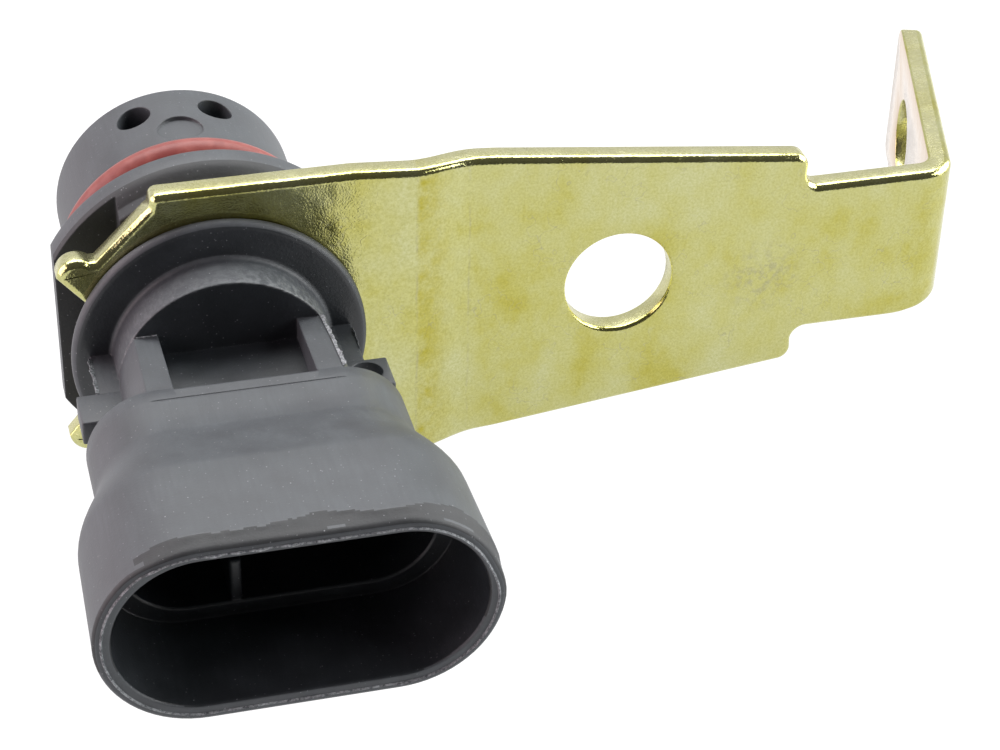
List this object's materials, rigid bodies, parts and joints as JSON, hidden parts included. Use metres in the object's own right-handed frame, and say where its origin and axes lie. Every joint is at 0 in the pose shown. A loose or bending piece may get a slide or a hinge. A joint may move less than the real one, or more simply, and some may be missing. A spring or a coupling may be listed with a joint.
{
  "type": "crankshaft position sensor",
  "caption": "Magnetic position sensor with a sealed nose, an oval three-way connector shroud and a folded steel mounting bracket.",
  "frame": {"origin": "centre of the flat sensing face at the nose's end", "axes": "+Y the way the nose points, -Y the way the connector opens, +X along the bracket's arm, +Z across the bracket's width"},
  "size_m": [0.0786, 0.0574, 0.0264],
  "materials": {
    "housing_plastic": "satin",
    "carrier_plastic": "matt",
    "seal_rubber": "matt",
    "plated_steel": "yellow chromate over zinc",
    "tinned_brass": "tin plated",
    "soft_steel": "bare",
    "magnet_alloy": "nickel plated",
    "chip_resin": "moulded",
    "board_laminate": "solder mask",
    "ceramic": "fired",
    "film": "polyimide film"
  },
  "bodies": {
    "root": {"sensor_housing": "housing_plastic", "bracket": "plated_steel", "o_ring": "seal_rubber", "core_carrier": "carrier_plastic", "hall_chip": "chip_resin", "chip_lead_1": "tinned_brass", "chip_lead_2": "tinned_brass", "chip_lead_3": "tinned_brass", "pole_plate": "soft_steel", "magnet": "magnet_alloy", "back_plate": "soft_steel", "lead_insulator": "film", "circuit_board": "board_laminate", "capacitor_supply": "ceramic", "capacitor_output": "ceramic", "pull_up_resistor": "chip_resin", "protection_diode": "chip_resin", "terminal_a": "tinned_brass", "terminal_b": "tinned_brass", "terminal_c": "tinned_brass"}
  },
  "joints": []
}
